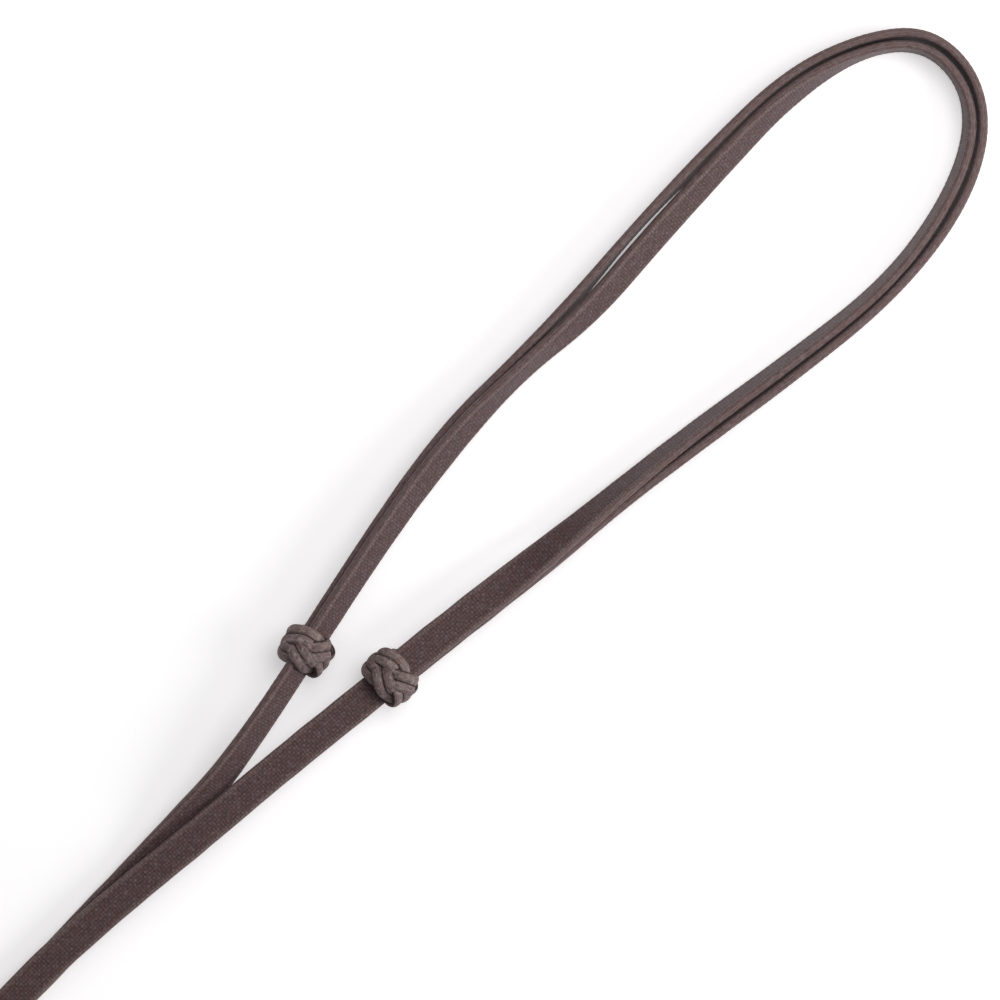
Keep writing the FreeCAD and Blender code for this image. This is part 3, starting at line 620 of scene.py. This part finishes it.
def strandPiece(name, line, section, around, uvStep, closed):
    # a tube along a line of (point, outward direction); section(i, angle) gives
    # its reach to the side and outwards
    count = len(line)
    frames = []
    for i, (point, outward) in enumerate(line):
        before = line[i - 1][0] if closed or i > 0 else point
        after = line[(i + 1) % count][0] if closed or i < count - 1 else point
        way = (after - before).normalized()
        flank = way.cross(outward).normalized()
        frames.append((point, flank, flank.cross(way)))

    def place(i, j):
        point, flank, outward = frames[i]
        wide, deep = section(i, math.tau * j / around)
        return point + flank * wide + outward * deep

    return wrapGrid(name, count + (1 if closed else 0), around, place, uvStep, closed)


def powered(value, exponent):
    return math.copysign(abs(value) ** exponent, value)


def addKnot(side, phase):
    # A three-lead woven ring of doubled cord: the pair passes three times round
    # the straps and weaves over and under itself.
    size = knotCord
    along, across, normal = knotAxes(side)
    front = (Vector((0, 0, 1)) - along * along.z).normalized()
    sideways = along.cross(front)
    middle = Vector(knots[side]["centre"])
    count = size["stations"]

    def wallAt(way, swing):
        # inner and outer radius of the ring in this direction
        a, b = abs(way.dot(across)), abs(way.dot(normal))
        power = size["holeSquare"]
        inner = ((a / size["hole"][0]) ** power + (b / size["hole"][1]) ** power) ** (-1 / power)
        outer = ((2 * a / size["wide"]) ** 2 + (2 * b / size["deep"]) ** 2) ** -0.5
        return inner, outer * (1 - size["crown"] * swing * swing)

    def pairPoint(t):
        turn, swing = size["leads"] * t + phase, math.cos(size["bights"] * t)
        way = sideways * math.cos(turn) + front * math.sin(turn)
        inner, outer = wallAt(way, swing)
        layer = powered(math.sin(2 * size["bights"] * t), size["layerSquare"])
        radius = (inner + outer) / 2 + layer * (outer - inner) / 4
        ring = Vector((math.cos(t), math.sin(t), 0)) * size["wanderReach"] + Vector((0, 0, phase))
        shake = noise.noise_vector(ring) * size["wander"]
        thick = min(max((outer - inner) / 2, size["thinnest"]), size["thickest"])
        tilt = size["endTilt"] * powered(swing, size["tiltPower"])
        point = middle + way * radius + along * (size["swing"] * swing) + shake
        return point, (way + along * tilt).normalized(), thick

    pair = [pairPoint(2 * math.pi * i / count) for i in range(count)]
    for place, offset in (("Inner", -0.5), ("Outer", 0.5)):
        line = []
        for i, (point, outward, _) in enumerate(pair):
            way = (pair[(i + 1) % count][0] - pair[i - 1][0]).normalized()
            flank = way.cross(outward).normalized()
            line.append((point + flank * (offset * size["pairApart"]), outward))

        def section(i, angle):
            twist = size["lobeTwist"] * math.tau * i / count
            rise = size["lobeRise"] * abs(math.sin(size["lobes"] / 2 * (angle + twist)))
            wide = (size["strandWide"] / 2 + rise) * powered(math.cos(angle), size["squareness"])
            return wide, (pair[i][2] / 2 + rise) * powered(math.sin(angle), size["squareness"])

        step = sum((a[0] - b[0]).length for a, b in zip(line, line[1:])) / (count - 1)
        roundStep = math.pi * (size["strandWide"] + size["thickest"]) / 2 / size["around"]
        uvStep = (step, roundStep)
        strand = strandPiece(side + "Knot" + place, line, section, size["around"], uvStep, True)
        crown = strand.data.attributes.new("crown", "FLOAT", "POINT")
        maps = strand.data.uv_layers["cloth"].data
        for loop in strand.data.loops:
            # painted shade: dark on the flanks, where a strand lies against its neighbour
            i, j = (round(maps[loop.index].uv[k] / uvStep[k]) for k in (0, 1))
            angle = math.tau * j / size["around"]
            bend = math.cos(math.tau * size["bights"] * i / count)
            free = math.cos(angle) * math.copysign(1, offset) * bend * bend
            crown.data[loop.vertex_index].value = max(abs(math.sin(angle)), free)
        strand.data.materials.append(knotFinish)
        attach(strand, side + "_knot")
        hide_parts(side + "_knot")


# each knot is turned a little round its straps
addKnot("left", math.radians(8))
addKnot("right", math.radians(14))
print("knots woven")

# ---- end fittings ----

ends = {"left": -0.0074, "right": 0.0066}      # each strap end's place across
hinge = {"tab": -0.1338, "loop": -0.1386, "height": 0.00175}
fineStep = (0.0001, 0.0001)      # the map's steps on small wires and sheets

crimp = {
    "width": 0.0066, "thick": 0.0026, "corner": 0.00078, "near": -0.1314, "mouth": -0.1224,
    "grip": 0.0020, "gripWidth": 0.0051, "gripThick": 0.0013, "gripCorner": 0.0003,
    "rim": 0.00012, "rimTurns": (0.0, 0.5, 1.0), "rows": 72, "around": 128,
    "seamWide": 0.00010, "seamDeep": 0.00022, "press": (-0.1251, -0.1269, -0.1287),
    "pressWide": 0.00036, "pressDeep": 0.00020, "pressHalf": 0.0022, "pressEnd": 6, "pressWall": 4,
}


def finishFitting(piece, finish, node, body):
    piece.data.materials.append(finish)
    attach(piece, body)
    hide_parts(node)


def addCrimp(side):
    # a folded sheet pressed flat on the strap's end, open at its mouth
    size, x = crimp, ends[side]
    inner = {"width": size["gripWidth"], "thick": size["gripThick"], "corner": size["gripCorner"]}
    length, rim = size["mouth"] - size["near"], size["rim"]
    rows = [(size["near"] + rim * (1 - math.cos(a)), size, -rim * (1 - math.sin(a)))
            for a in size["rimTurns"]]
    rows += [(size["near"] + rim + (length - 2 * rim) * k / size["rows"], size, 0.0)
             for k in range(size["rows"] + 1)]
    rows += [(size["mouth"] - rim * (1 - math.sin(a)), size, -rim * (1 - math.cos(a)))
             for a in (0.5, 1.0, 1.5)]
    rows += [(size["mouth"] - rim * k, inner, rim * (1 - k)) for k in (0, 1)]
    rows += [(size["mouth"] - size["grip"], inner, 0.0)]

    def place(i, j):
        y, outline, grow = rows[i]
        (a, h), (wayA, wayH) = outlineAt(j / size["around"], outline)
        if outline is size and wayH > 0.5:
            grow -= size["seamDeep"] * math.exp(-(a / size["seamWide"]) ** 2)
            for press in size["press"]:
                edge = max(0.0, 1 - (abs(a) / size["pressHalf"]) ** size["pressEnd"])
                across = (y - press) / size["pressWide"]
                grow -= size["pressDeep"] * edge * math.exp(-across ** size["pressWall"])
        return Vector((x + a + wayA * grow, y, size["thick"] / 2 + h + wayH * grow))

    step = size["width"] / size["around"]
    body = wrapGrid(side + "CrimpFold", len(rows), size["around"], place, (step, step))
    finishFitting(body, crimpFinish, side + "_end_crimp", "root")


tab = {
    "width": 0.0024, "thick": 0.00062, "roll": 0.00088, "start": -0.1311, "height": 0.0013,
    "around": 40, "neckSteps": 8, "rollSteps": 48, "rollStep": math.radians(6.6),
    "sideSquare": 0.3, "faceSquare": 0.4,
}


def addTab(side):
    # the crimp's tongue, rolled round the link's wire
    size, x = tab, ends[side]
    eye = Vector((x, hinge["tab"], hinge["height"]))
    under = eye.z - size["roll"]
    line = []
    for k in range(size["neckSteps"] + 1):
        share = k / size["neckSteps"]
        ease = share * share * (3 - 2 * share)
        y = size["start"] + (eye.y - size["start"]) * share
        z = size["height"] * (1 - ease) + under * ease
        line.append((Vector((x, y, z)), Vector((0, 0, -1))))
    for k in range(1, size["rollSteps"] + 1):
        turn = size["rollStep"] * k
        way = Vector((0, -math.sin(turn), -math.cos(turn)))
        line.append((eye + way * size["roll"], way))

    def section(i, angle):
        wide = size["width"] / 2 * powered(math.cos(angle), size["sideSquare"])
        return wide, size["thick"] / 2 * powered(math.sin(angle), size["faceSquare"])

    tongue = strandPiece(side + "CrimpTongue", line, section, size["around"], fineStep, False)
    finishFitting(tongue, crimpFinish, side + "_end_crimp", "root")


link = {
    "halfWide": 0.00235, "corner": 0.0009, "wire": 0.00045, "around": 24, "stations": 240,
    "joint": 0.25, "jointDeep": 0.00008,      # the ends' place along the wire, and their groove
}


def addLink(side):
    # a bent wire, its two ends meeting in the middle of one long side
    size, x = link, ends[side]
    halfLong = (hinge["tab"] - hinge["loop"]) / 2
    middle = Vector((x, (hinge["tab"] + hinge["loop"]) / 2, hinge["height"]))
    outline = {"width": 2 * size["halfWide"], "thick": 2 * halfLong, "corner": size["corner"]}
    count = size["stations"]
    line = []
    for i in range(count):
        (a, b), (wayA, wayB) = outlineAt((i + 0.5) / count, outline)
        line.append((middle + Vector((a, b, 0)), Vector((wayA, wayB, 0))))
    joint = round(count * size["joint"])

    def section(i, angle):
        radius = size["wire"] - size["jointDeep"] * (i == joint)
        return radius * math.cos(angle), radius * math.sin(angle)

    wire = strandPiece(side + "LinkWire", line, section, size["around"], fineStep, True)
    finishFitting(wire, wireFinish, side + "_end_link", side + "_link")


coil = {
    "near": -0.1449, "far": -0.1505, "leg": 0.00115, "radius": 0.00137, "wire": 0.00034,
    "turns": 7, "stations": 420, "around": 16,
}


def addCoil(side):
    # a close-wound wire round both legs of the rubber loop
    size, x = coil, ends[side]
    almost = 0.9999      # leaves the outline's ends a sliver of straight side
    outline = {"width": 2 * (size["leg"] + size["radius"]), "thick": 2 * size["radius"],
               "corner": size["radius"] * almost}
    start, stop = size["near"] - size["wire"], size["far"] + size["wire"]
    line = []
    for i in range(size["stations"]):
        share = i / (size["stations"] - 1)
        (a, h), (wayA, wayH) = outlineAt((share * size["turns"]) % 1, outline)
        y = start + (stop - start) * share
        line.append((Vector((x + a, y, hinge["height"] + h)), Vector((wayA, 0, wayH))))

    def section(i, angle):
        return size["wire"] * math.cos(angle), size["wire"] * math.sin(angle)

    spring = strandPiece(side + "CoilWire", line, section, size["around"], fineStep, False)
    finishFitting(spring, wireFinish, side + "_loop_coil", side + "_coil")


rubber = {
    "merge": 0.000001, "voxel": 0.00013, "smoothing": 8, "smoothShare": 0.5,
    "seamHigh": 0.00005, "seamWide": 0.00007,
}


def addRubberLoop(side):
    # the moulded loop, its edges softened, with the fine line left by its mould
    size = rubber
    bm = bmesh.new()
    bm.from_mesh(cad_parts[side + "_temple_loop"].data)
    bmesh.ops.remove_doubles(bm, verts=bm.verts, dist=size["merge"])
    rough = finishMesh("rough", bm)
    soften = rough.modifiers.new("moulded", "REMESH")
    soften.mode, soften.voxel_size = "VOXEL", size["voxel"]
    relax = rough.modifiers.new("relaxed", "SMOOTH")
    relax.factor, relax.iterations = size["smoothShare"], size["smoothing"]
    bpy.context.view_layer.update()
    bm = bmesh.new()
    bm.from_object(rough, bpy.context.evaluated_depsgraph_get())
    bpy.data.meshes.remove(rough.data)
    bm.normal_update()
    for vert in bm.verts:
        away = (vert.co.z - hinge["height"]) / size["seamWide"]
        vert.co += vert.normal * (size["seamHigh"] * math.exp(-away * away) * (1 - abs(vert.normal.z)))
    loop = finishMesh(side + "RubberLoop", bm)
    finishFitting(loop, rubberFinish, side + "_temple_loop", side + "_loop")


for side in ("left", "right"):
    addCrimp(side)
    addTab(side)
    addLink(side)
    addCoil(side)
    addRubberLoop(side)
print("fittings finished")

# ---- table and light ----

studio = {
    "floor": 2.4, "drop": 0.00004,      # the table's half side, and its gap under the straps
    "floorColour": (0.85, 0.84, 0.85, 1), "floorRough": 0.9,
    "glowColour": (1, 0.995, 1, 1), "glow": 0.38,
    "skyColour": (1, 0.99, 1, 1), "sky": 0.24,
}
# each lamp's place, the point it faces, its diameter and its power
lamps = {
    "keyLight": ((-0.75, 0.75, 0.95), (0, 0.05, 0), 1.0, 2.6),
    "sideLight": ((0.42, 0.36, 0.26), (0, 0.12, 0), 0.30, 1.80),
    "loopLight": ((0.02, 0.22, 0.30), (0, 0.13, 0), 0.26, 0.50),
}


def addFloor():
    bm = bmesh.new()
    bmesh.ops.create_grid(bm, x_segments=1, y_segments=1, size=studio["floor"])
    bmesh.ops.translate(bm, verts=bm.verts, vec=(0, 0, -studio["drop"]))
    floor = finishMesh("table", bm, smooth=False)
    material, tree, shader = newMaterial("paleTable")
    shader.inputs["Base Color"].default_value = studio["floorColour"]
    shader.inputs["Roughness"].default_value = studio["floorRough"]
    shader.inputs["Emission Color"].default_value = studio["glowColour"]
    shader.inputs["Emission Strength"].default_value = studio["glow"]
    floor.data.materials.append(material)


def addLamp(name, place, aim, size, power):
    data = bpy.data.lights.new(name, "AREA")
    data.shape, data.size, data.energy = "DISK", size, power
    lamp = bpy.data.objects.new(name, data)
    lamp.location = place
    lamp.rotation_mode = "QUATERNION"
    lamp.rotation_quaternion = (Vector(aim) - Vector(place)).to_track_quat("-Z", "Y")
    scene.collection.objects.link(lamp)


addFloor()
world = bpy.data.worlds.new("studio")
world.use_nodes = True
background = world.node_tree.nodes["Background"]
background.inputs["Color"].default_value = studio["skyColour"]
background.inputs["Strength"].default_value = studio["sky"]
scene.world = world
for name, settings in lamps.items():
    addLamp(name, *settings)
scene.view_settings.view_transform = "Standard"
print("table and light set")
